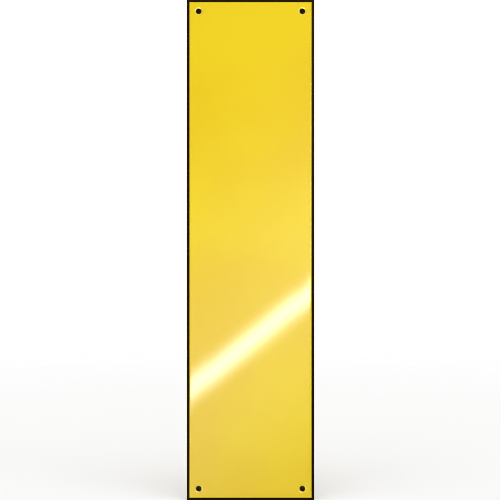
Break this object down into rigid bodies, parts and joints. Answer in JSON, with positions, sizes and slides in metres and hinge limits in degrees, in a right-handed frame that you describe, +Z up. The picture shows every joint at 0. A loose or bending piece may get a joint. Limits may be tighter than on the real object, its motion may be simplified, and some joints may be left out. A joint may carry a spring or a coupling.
{
  "type": "kick plate",
  "caption": "Rectangular polished brass kick plate with bevelled edges and a countersunk, cross-recessed wood screw near each corner.",
  "frame": {"origin": "centre of the plate's flat back face, which rests on the door", "axes": "+Z up along the plate's long side, +X to the right seen from the front, +Y away from the viewer into the door, so the polished front faces -Y"},
  "size_m": [0.15, 0.0161, 0.59],
  "materials": {
    "polished_brass": "polished yellow brass under clear gloss lacquer, fine buffing marks; bevelled edge blackened; plain mill finish on the back",
    "dark_bronze": "chemically darkened bronze, satin, slightly rubbed on the thread crests and the head's rim"
  },
  "bodies": {
    "root": {"face_plate": "polished_brass", "screw_top_left": "dark_bronze", "screw_top_right": "dark_bronze", "screw_bottom_left": "dark_bronze", "screw_bottom_right": "dark_bronze"}
  },
  "joints": []
}
